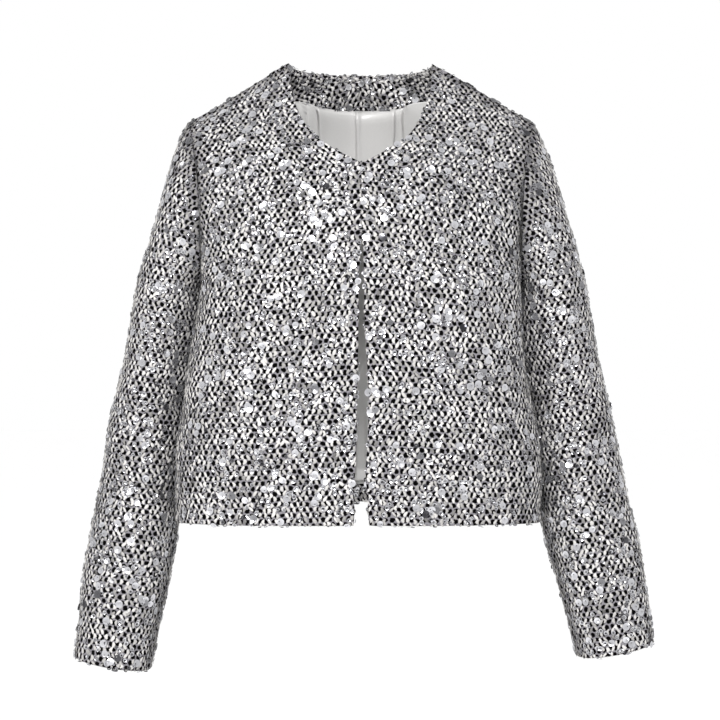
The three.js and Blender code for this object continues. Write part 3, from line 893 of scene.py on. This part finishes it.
def faceWithTurnings(cloth, seamShadowTone):
    # The tweed face with its turnings: round every free edge and some way up the inside.
    points, normals, faces, flat = (cloth[key] for key in ("points", "normals", "faces", "flat"))
    loop, before, after = openEdge(faces, len(points))
    away = edgeDirections(points, normals, loop, before, after)
    sense = np.sign(flatAreas(flat, faces).sum())
    tangent = flat[after] - flat[before]
    out = np.stack([tangent[:, 1], -tangent[:, 0]], axis=1) * sense
    out /= np.maximum(np.linalg.norm(out, axis=1), 1e-9)[:, None]
    half = cloth["depth"][loop][:, None] / 2
    middle = points[loop] - normals[loop] * half
    reach = np.where(cloth["hem"][loop] > 0, cut["turnedHem"], cut["turnedEdge"])[:, None]
    rows, ways, distances = [], [], []
    for degrees in cut["turnedAngles"]:
        turn = math.radians(degrees)
        way = normals[loop] * math.cos(turn) + away * math.sin(turn)
        rows.append(middle + way * half)
        ways.append(way)
        distances.append(half * turn)
    inside = rows[-1]
    for k in range(1, cut["turnedSteps"] + 1):
        rows.append(inside - away * reach * k / cut["turnedSteps"])
        ways.append(-normals[loop])
        distances.append(half * math.pi + reach * k / cut["turnedSteps"])
    place = np.full(len(points), -1)
    place[loop] = np.arange(len(loop))
    following = place[after]
    free = (cloth["soft"][loop] > 0) & (cloth["soft"][after] > 0)
    ids = [loop] + [len(points) + len(loop) * k + np.arange(len(loop)) for k in range(len(rows))]
    strips = [
        np.stack([p[following], p, q, q[following]], axis=1)[free] for p, q in zip(ids, ids[1:])
    ]
    return ClothFace(
        np.concatenate([points] + rows), np.concatenate([normals] + ways),
        np.concatenate([flat] + [flat[loop] + out * distance for distance in distances]),
        np.concatenate([faces] + strips),
        flat[loop][cloth["soft"][loop] == 0], seamShadowTone,
    )


def patchiness(places, chance):
    # Soft waves over the cloth that make neighbours alike.
    return sum(softWaves(places, size, chance) for size in weave["patchSizes"])


def weaveFloats(name, face, seed):
    # The white floats of the weave between the black gaps, in a staggered grid. Each is a low ridge
    # of five rows of three points, whose ends swing to one side or the other.
    chance = np.random.default_rng(seed)
    used = face.flat[np.unique(face.triangles)]
    low, high = used.min(axis=0), used.max(axis=0)
    centres = []
    pitch, rowStep = weave["pitch"], weave["rowStep"]
    for j in range(math.floor(low[1] / rowStep), math.ceil(high[1] / rowStep) + 1):
        for i in range(math.floor(low[0] / pitch) - 1, math.ceil(high[0] / pitch) + 1):
            centres.append(((i + 0.5 * (j % 2)) * pitch, j * rowStep))
    centres = np.array(centres)
    centres += chance.normal(0, weave["jitter"], centres.shape)
    _, _, away = face.find(centres)
    shown = chance.random(len(centres)) > weave["missing"]
    centres = centres[(away < weave["offCloth"]) & shown]
    count = len(centres)
    long = weave["floatLong"] * (1 + chance.normal(0, weave["longSpread"], count)) / 2
    wide = weave["floatWide"] * (1 + chance.normal(0, weave["wideSpread"], count)) / 2
    high = weave["floatHigh"] * (1 + chance.normal(0, weave["highSpread"], count))
    swings = {}
    for end in (-1, 1):
        sideways = chance.choice((-1, 1), count)
        swings[end] = weave["lean"] * sideways * chance.uniform(*weave["leanSpread"], count)
    tone = weave["tone"] + weave["tonePatches"] * patchiness(centres, chance)
    tone = np.clip(tone + chance.normal(0, weave["toneSpread"], count), 0, 1)
    # painted seam shade on the floats
    tone *= face.paintedSeamShade(centres)
    places, heights, tones = [], [], []
    for t, width, lift in weave["floatRows"]:
        swing = swings[1 if t > 0 else -1] * t * t * (3 - 2 * abs(t))
        middle = centres + np.stack([swing, t * long], axis=1)
        # painted shade at the float's ends and sides
        endShadeTone = weave["endShadeTone"] if abs(t) == 1 else 1
        for s in (-1, 0, 1):
            places.append(middle + np.stack([s * wide * width, 0 * wide], axis=1))
            heights.append(high * (lift - weave["sideDrop"] * abs(s)) - weave["sunk"])
            tones.append(tone * (weave["sideShadeTone"] if s else 1) * endShadeTone)
    places = np.stack(places, axis=1).reshape(-1, 2)
    place, normal, _ = face.find(places)
    points = place + normal * np.stack(heights, axis=1).reshape(-1)[:, None]
    long, wide = len(weave["floatRows"]), 3
    faces = gridFaces(long, wide)[None] + long * wide * np.arange(count)[:, None, None]
    faces = faces.reshape(-1, 4)
    corner = points[faces[0]]
    if np.dot(np.cross(corner[1] - corner[0], corner[2] - corner[1]), normal[0]) < 0:
        faces = faces[:, ::-1]
    tones = np.stack(tones, axis=1).reshape(-1)
    piece = meshPiece(name, points, faces, tones=tones, materials=[floats])
    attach(piece, "root")
    return piece


def scatterSequins(name, face, area, seed):
    # Sequins sewn on at random, in loose clusters, each a shallow dish with a hole and a thin edge.
    chance = np.random.default_rng(seed)
    corner = face.triangles
    a, b, c = (face.flat[corner[:, k]] for k in range(3))
    share = np.abs(face.cross(b - a, c - a)) / 2
    count = int(area / sequins["areaEach"])
    tries = chance.choice(len(corner), 2 * count, p=share / share.sum())
    r1, r2 = np.sqrt(chance.random(2 * count)), chance.random(2 * count)
    weights = np.stack([1 - r1, r1 * (1 - r2), r1 * r2])[..., None]
    spots = a[tries] * weights[0] + b[tries] * weights[1] + c[tries] * weights[2]
    rank = patchiness(spots, chance) + chance.normal(0, sequins["scatter"], len(spots))
    order = np.argsort(-rank)
    spots = spots[order[:count]]
    spots = spots[chance.permutation(count)]
    big = np.arange(count) < sequins["bigShare"] * count
    place, normal, _ = face.find(spots)
    # painted seam shade on the sequins
    paintedSeamShade = face.paintedSeamShade(spots)
    along = np.cross(normal, chance.normal(size=(count, 3)))
    along /= np.linalg.norm(along, axis=1)[:, None]
    tilt = np.radians(chance.normal(0, sequins["tilt"], count))
    cross = np.cross(normal, along)
    up = normal * np.cos(tilt)[:, None] + cross * np.sin(tilt)[:, None]
    cross = np.cross(up, along)
    points, faces, tones, total = [], [], [], 0
    for kind, chosen in (("big", np.flatnonzero(big)), ("small", np.flatnonzero(~big))):
        look, amount = sequins[kind], len(chosen)
        n = look["sides"]
        radius = chance.uniform(*look["across"], amount) / 2
        loose = chance.uniform(*sequins["loose"], amount)
        lift = weave["floatHigh"] * look["height"] + loose
        angle = 2 * math.pi * np.arange(n) / n
        # painted shade and painted reflection: a lit or a shaded tone for each sequin, times the
        # painted seam shade
        dark = chance.random(amount) < sequins["dark"]
        shadedTone = chance.uniform(*sequins["shadedTones"], amount)
        litTone = chance.uniform(*sequins["litTones"], amount)
        shade = np.where(dark, shadedTone, litTone) * paintedSeamShade[chosen]
        sizes = (look["hole"] * radius, radius, sequins["underRim"] * radius)
        offsets = (look["shift"] * radius, 0 * radius, 0 * radius)
        rings = []
        for size, offset, height, _ in zip(sizes, offsets, sequins["ringHeights"], look["ringShadeTones"]):
            rings.append(
                place[chosen][:, None]
                + along[chosen][:, None] * (offset[:, None] + size[:, None] * np.cos(angle))[..., None]
                + cross[chosen][:, None] * (size[:, None] * np.sin(angle))[..., None]
                + up[chosen][:, None] * (lift + height)[:, None, None]
            )
        points.append(np.concatenate(rings, axis=1).reshape(-1, 3))
        # the rings' tones paint shade into the hollow round the hole
        tones.append((shade[:, None] * np.repeat(look["ringShadeTones"], n)).reshape(-1))
        k, following = np.arange(n), (np.arange(n) + 1) % n
        band = np.stack([k, k + n, following + n, following], axis=1)
        one = np.concatenate([band + n * ring for ring in range(len(rings) - 1)])
        each = len(rings) * n
        every = one[None] + total + each * np.arange(amount)[:, None, None]
        faces.append(every.reshape(-1, 4))
        total += each * amount
    piece = meshPiece(
        name, np.concatenate(points), np.concatenate(faces), tones=np.concatenate(tones),
        materials=[sequin],
    )
    piece.data.set_sharp_from_angle(angle=math.radians(sequins["sharpFrom"]))
    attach(piece, "root")
    return piece


def newPatch(points, flat, centre, hemDeep=0.0, seams=()):
    # A grid of a panel with what its rows and columns are: seams are drawn down a little, the
    # turned hem is thicker, free edges are round.
    rows, columns = points.shape[:2]
    patch = {
        "points": points, "flat": flat, "centre": np.broadcast_to(centre, points.shape).copy(),
        "dip": np.zeros((rows, columns)), "hem": np.zeros((rows, columns)),
        "soft": np.zeros((rows, columns)), "ease": np.ones((rows, columns)),
        "depth": np.full((rows, columns), cut["shellThick"]),
    }
    for away in (1, 0):
        lines = {"top": np.s_[-1 - away], "start": np.s_[:, away], "end": np.s_[:, -1 - away]}
        for edge in seams:
            patch["dip"][lines[edge]] = cut["seamDips"][away]
    if hemDeep:
        strip = round(cut["turnedHem"] / cut["gridStep"])
        patch["hem"][:strip + 1] = 1
        patch["depth"][:strip + 1] = hemDeep
        patch["soft"][0] = 1
        patch["ease"][:len(cut["hemEase"])] = np.array(cut["hemEase"])[:, None]
    return patch


def reverseColumns(patch):
    return {key: value[:, ::-1].copy() for key, value in patch.items()}


def mirrorPatch(patch):
    # The other side's patch, its columns in the same direction as before.
    result = reverseColumns(patch)
    result["points"] *= (-1, 1, 1)
    result["centre"] *= (-1, 1, 1)
    result["flat"] *= (-1, 1)
    return result


def layCreases(patches, creases, flip, seed):
    # Presses the creases into the patches, draws down their seams and gives them their normals.
    points, faces = stacked(patches, "points"), patchFaces(patches)
    normals = pointNormals(points, faces)
    side = np.sign((normals * (points - stacked(patches, "centre"))).sum())
    heights = creaseHeights(stacked(patches, "flat"), creases, flip, seed)[:, None]
    points = points + normals * side * heights * stacked(patches, "ease")
    normals = pointNormals(points, faces) * side
    points = points - normals * (stacked(patches, "dip") + cut["floatRoom"])
    first = 0
    for p in patches:
        last = first + p["dip"].size
        p["points"] = points[first:last].reshape(p["points"].shape)
        p["normals"] = normals[first:last].reshape(p["points"].shape)
        first = last
    return side


def joinedCloth(patches, side):
    cloth = joinPatches(patches)
    if side < 0:
        cloth["faces"] = cloth["faces"][:, ::-1]
    cloth["normals"] = pointNormals(cloth["points"], cloth["faces"])
    return cloth


def tweedPanel(name, cloth, seed, node, seamShadowTone=weave["seamShadowTone"]):
    shell = clothShell(name, cloth, 1, [ground, satin])
    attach(shell, "root")
    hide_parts(node)
    face = faceWithTurnings(cloth, seamShadowTone)
    yarn = weaveFloats(name + "_floats", face, seed + 1)
    shine = scatterSequins(name + "_sequins", face, flatArea(cloth), seed + 2)
    return shell


# Fronts. A crease has a start and an end on the flat panel, a height, a width and a bow.

bodyCentre = np.array([0, 0, -250])
fronts = {
    "hemDeep": 4.0,
    "seeds": {"left": 10, "right": 20},
    "creases": [
        ((150, 60), (215, 140), -1.6, 16, 10), ((60, 20), (70, 150), 1.2, 20, -8),
        ((190, 235), (110, 300), -2.0, 13, 10), ((170, 205), (120, 160), 1.6, 15, -6),
        ((20, 200), (75, 330), 1.0, 18, 8), ((110, 330), (160, 400), -1.2, 15, 6),
    ],
}
frontGrids, frontNeckRow = panelGrids("front")
for half, seed in fronts["seeds"].items():
    grid = frontGrids[half]
    flat = flatten(grid, 0, frontNeckRow)
    patch = newPatch(grid, flat, bodyCentre, fronts["hemDeep"], ("top", "end"))
    patch["soft"][:, 0] = 1
    if half == "right":
        patch = mirrorPatch(patch)
    side = layCreases([patch], fronts["creases"], half == "right", seed)
    tweedPanel(f"front_{half}_tweed", joinedCloth([patch], side), seed, f"front_{half}")
print("fronts made")


# Back

back = {
    "hemDeep": 4.8,
    "seed": 30,
    "creases": [
        ((-150, 60), (-60, 190), 1.8, 24, 14), ((-200, 240), (-90, 330), -2.2, 15, 10),
        ((190, 230), (100, 310), -2.0, 14, -12), ((70, 40), (120, 180), 1.5, 22, -8),
        ((-30, 60), (-10, 260), -1.4, 20, 6), ((150, 330), (90, 400), 1.3, 17, 5),
        ((-20, 300), (60, 380), 1.0, 20, 8),
    ],
}
backGrids, backNeckRow = panelGrids("back")
backPatches = []
for half in ("left", "right"):
    grid = backGrids[half]
    flat = flatten(grid, 0, backNeckRow)
    patch = newPatch(grid, flat, bodyCentre, back["hemDeep"], ("top", "end"))
    patch["soft"][backNeckRow:, 0] = 1
    backPatches.append(patch if half == "left" else mirrorPatch(patch))
side = layCreases(backPatches, back["creases"], False, back["seed"])
tweedPanel("back_tweed", joinedCloth(backPatches, side), back["seed"], "back")
print("back made")


# Sleeves

sleeves = {
    "hemDeep": 3.6,
    "seeds": {"left": 40, "right": 50},
    "creases": [
        ((-150, 300), (-40, 350), -2.2, 12, 10), ((150, 290), (60, 350), -2.0, 13, -9),
        ((-120, 250), (-20, 225), -1.8, 10, 8), ((120, 235), (15, 210), -1.5, 11, -7),
        ((-90, 200), (30, 170), 1.5, 14, 9), ((-60, 120), (80, 140), 1.2, 16, -8),
        ((30, 280), (90, 180), 1.3, 16, 9), ((-20, 60), (70, 40), -1.0, 13, 6),
    ],
}
for half, seed in sleeves["seeds"].items():
    grid = sleeveGrid(half)
    flat = flatten(grid, grid.shape[1] // 2)
    spine = grid.mean(axis=1)[:, None]
    patch = newPatch(grid, flat, spine, sleeves["hemDeep"], ("top", "start", "end"))
    if half == "right":
        patch = mirrorPatch(patch)
    side = layCreases([patch], sleeves["creases"], half == "right", seed)
    tweedPanel(f"sleeve_{half}_tweed", joinedCloth([patch], side), seed, f"sleeve_{half}")
print("sleeves made")


# Back neck facing and lining, laid inside the back

facing = {
    "stepsAround": 36, "stepsDown": 14,
    "shellThick": 1.8,
    "centre": (0, 300, -60),      # its tweed face looks away from here, into the neck
    "seed": 70,
    "seamShadowTone": 1,                # its seams lie out of sight, so none of it is shaded
    "creases": [((-70, 440), (-20, 425), 0.4, 12, 4)],
}
lining = {
    "shellThick": 0.5,
    "under": 0.35,                # from the back's inner side to the lining
    "hemRows": 1.3, "topRows": 0.1,   # how far it stays off the hem's and the facing's edge, in rows
    "loose": 2.6,                 # how far it hangs off the back between its pleats
    "long": 440, "step": 4.5, "fineStep": 1.4, "fineWide": 84.0,   # its mesh, finer in the middle
    "calm": (0.04, 0.014), "calmLeast": 0.2,   # where the folds die away at the bottom and the top
    "sidewaysFrom": 90, "sidewaysOver": 40,
    "seed": 60,
    "creases": [
        ((9, 176), (-6, 136), 2.8, 3, 2), ((22, 380), (38, 352), 2.0, 6, 2),
        ((-130, 60), (-110, 300), 3.0, 14, 8), ((120, 40), (132, 260), 3.0, 12, -8),
        ((85, 120), (92, 380), 2.4, 11, 6), ((-90, 30), (-84, 210), 2.2, 10, -6),
    ],
    # where, from and to which height, how high, how wide on the long side (to the left where
    # negative), how wide on the steep side, how much they bow
    "pleats": [
        (-5.5, -60, 520, 9.0, 22, 1.6, 1.5), (-69, 250, 500, 3.0, -14, 2.6, -1.5),
        (-49, 240, 500, 5.5, 12, 1.8, 2.0), (39, 250, 500, 6.0, -13, 1.8, -1.6),
        (53, 260, 500, 3.5, 9, 2.0, 1.2), (-9, -60, 130, 2.2, 5, 1.0, 1.0),
        (5.5, -60, 110, 2.0, -4, 1.0, -1.0),
    ],
    "pleatFade": 30, "bowOver": 45, "troughAt": 1.2, "troughWide": 0.9,
}


def sampleGrid(grid, rows, columns):
    # Values of a grid at places between its rows and columns.
    r = np.clip(np.floor(rows).astype(int), 0, grid.shape[0] - 2)
    c = np.clip(np.floor(columns).astype(int), 0, grid.shape[1] - 2)
    fr, fc = (rows - r)[..., None], (columns - c)[..., None]
    low = grid[r, c] * (1 - fc) + grid[r, c + 1] * fc
    high = grid[r + 1, c] * (1 - fc) + grid[r + 1, c + 1] * fc
    return low * (1 - fr) + high * fr


def facingRows(points):
    # The row, between rows, at which each column of the back meets the facing's lower edge.
    reach = cut["neckHalfWidth"] + cut["facingAtShoulder"]
    low = -cut["backNeckDrop"] - cut["facingDepth"]
    edge = low + (cut["facingEndZ"] - low) * (np.abs(points[..., 0]) / reach) ** cut["facingCurve"]
    above = points[..., 2] - edge
    rows = np.full(points.shape[1], points.shape[0] - 1.0)
    for c in range(points.shape[1]):
        hits = np.flatnonzero(above[:, c] > 0)
        if len(hits):
            before, after = above[hits[0] - 1, c], above[hits[0], c]
            rows[c] = hits[0] - 1 - before / (after - before)
    return rows


def insideGrid(patch, rows, columns, depth):
    # Part of a half of the back, moved inwards: its points, normals and flat places.
    fields = ("points", "normals", "flat")
    points, normals, flat = (sampleGrid(patch[key], rows, columns) for key in fields)
    normals /= np.linalg.norm(normals, axis=2)[..., None]
    return points - normals * depth, normals, flat


def facingPatch(patch, half):
    # From the facing's lower edge to the neckline and the shoulder seam.
    ends = facingRows(patch["points"])
    last = patch["points"].shape[0] - 1.0
    crossing = sampleGrid(patch["points"], ends, np.arange(len(ends)))[:, 0] * half
    inside = np.flatnonzero(ends < last)[-1] + 1
    around = np.linspace(0, 1, facing["stepsAround"])
    wanted = around * crossing[inside]
    edgeColumns = np.interp(wanted, crossing[:inside + 1], np.arange(inside + 1))
    edgeRows = np.interp(wanted, crossing[:inside + 1], ends[:inside + 1])
    t = np.linspace(0, 1, facing["stepsDown"])[:, None]
    rows = edgeRows * (1 - t) + lerp(backNeckRow, last, around) * t
    columns = edgeColumns * (1 - t)
    depth = patch["depth"][-1, 0] + cut["seamGap"] + facing["shellThick"]
    points, _, flat = insideGrid(patch, rows, columns, depth)
    new = newPatch(points, flat, facing["centre"], 0.0, ("top", "end"))
    new["depth"][:] = facing["shellThick"]
    new["soft"][0] = 1
    new["soft"][-1] = 1
    return new


def liningGrid(patch):
    # The rows and columns of the back that the lining's mesh lies on. The columns lean so that
    # their tops spread evenly along the facing and the seam. Also gives how far up each row is.
    low = round(cut["turnedHem"] / cut["gridStep"]) + lining["hemRows"]
    ends = facingRows(patch["points"]) - lining["topRows"]
    last = patch["points"].shape[1] - 1
    around = np.linspace(0, last, 20 * last + 1)
    endRows = np.interp(around, np.arange(last + 1), ends)
    steps = np.diff(sampleGrid(patch["points"], endRows, around), axis=0)
    run = np.concatenate([[0], np.linalg.norm(steps, axis=1).cumsum()])
    fine = lining["fineWide"] / cut["gridStep"]
    columns = np.concatenate([
        np.linspace(0, fine, round(lining["fineWide"] / lining["fineStep"]))[:-1],
        np.linspace(fine, last, round((last - fine) * cut["gridStep"] / lining["step"])),
    ])
    places = columns / last * run[-1]
    up = np.linspace(0, 1, round(lining["long"] / lining["step"]))[:, None]
    rows = lerp(low, np.interp(places, run, endRows), up)
    return rows, lerp(columns, np.interp(places, run, around), up), up


def liningFolds(flat):
    # How high the pleats and folds stand at each place on the flat lining.
    u, v = flat[..., 0], flat[..., 1]
    folds = creaseHeights(flat, lining["creases"], False, lining["seed"]) + lining["loose"]
    for at, bottom, top, high, wide, steep, bow in lining["pleats"]:
        beside = (u - at - bow * np.sin(v / lining["bowOver"])) * np.sign(wide)
        reach = np.clip(np.minimum(v - bottom, top - v) / lining["pleatFade"], 0, 1)
        slope = np.where(beside > 0, np.exp(-beside / abs(wide)), np.exp(beside / steep))
        trough = np.exp(-((beside + lining["troughAt"] * steep) / lining["troughWide"]) ** 2)
        folds += (high * slope - lining["loose"] * trough) * reach
    return np.maximum(folds, 0)


def liningPatch(patch):
    # From the top of the turned hem to the facing and the shoulder seam, with its pleats.
    rows, columns, up = liningGrid(patch)
    depth = sampleGrid(patch["depth"][..., None], rows, columns) + lining["under"]
    points, normals, flat = insideGrid(patch, rows, columns, depth)
    bottom, top = lining["calm"]
    calm = np.clip(np.minimum(up / bottom, (1 - up) / top), lining["calmLeast"], 1)
    # The folds stand forwards in the middle and squarely off the cloth towards the side seams.
    sideways = (np.abs(flat[..., 0]) - lining["sidewaysFrom"]) / lining["sidewaysOver"]
    sideways = np.clip(sideways, 0, 1)[..., None]
    forwards = np.array([0, -1, 0]) * (1 - sideways) - normals * sideways
    points += forwards * (liningFolds(flat) * calm)[..., None]
    new = newPatch(points, flat, bodyCentre)
    new["depth"][:] = lining["shellThick"]
    return new


facingPatches, liningPatches = [], []
for patch, half in zip(backPatches, (1, -1)):
    # The halves are worked out with their columns outwards.
    outwards = patch if half > 0 else reverseColumns(patch)
    made = (facingPatch(outwards, half), liningPatch(outwards))
    for new, patches in zip(made, (facingPatches, liningPatches)):
        patches.append(new if half > 0 else reverseColumns(new))

side = layCreases(facingPatches, facing["creases"], False, facing["seed"])
cloth = joinedCloth(facingPatches, side)
tweedPanel(
    "back_neck_facing_tweed", cloth, facing["seed"], "back_neck_facing", facing["seamShadowTone"],
)

points = stacked(liningPatches, "points")
normals = pointNormals(points, patchFaces(liningPatches))
cloth = joinedCloth(liningPatches, np.sign((normals * (points - bodyCentre)).sum()))
liningShell = clothShell("lining_back_satin", cloth, 0, [satin])
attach(liningShell, "root")
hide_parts("lining_back")
print("facing and lining made")

meshes = [piece.data for piece in bpy.context.scene.objects if piece.type == "MESH"]
triangles = sum(len(mesh.loops) - 2 * len(mesh.polygons) for mesh in meshes)
print(triangles, "triangles in the scene, with the CAD nodes")
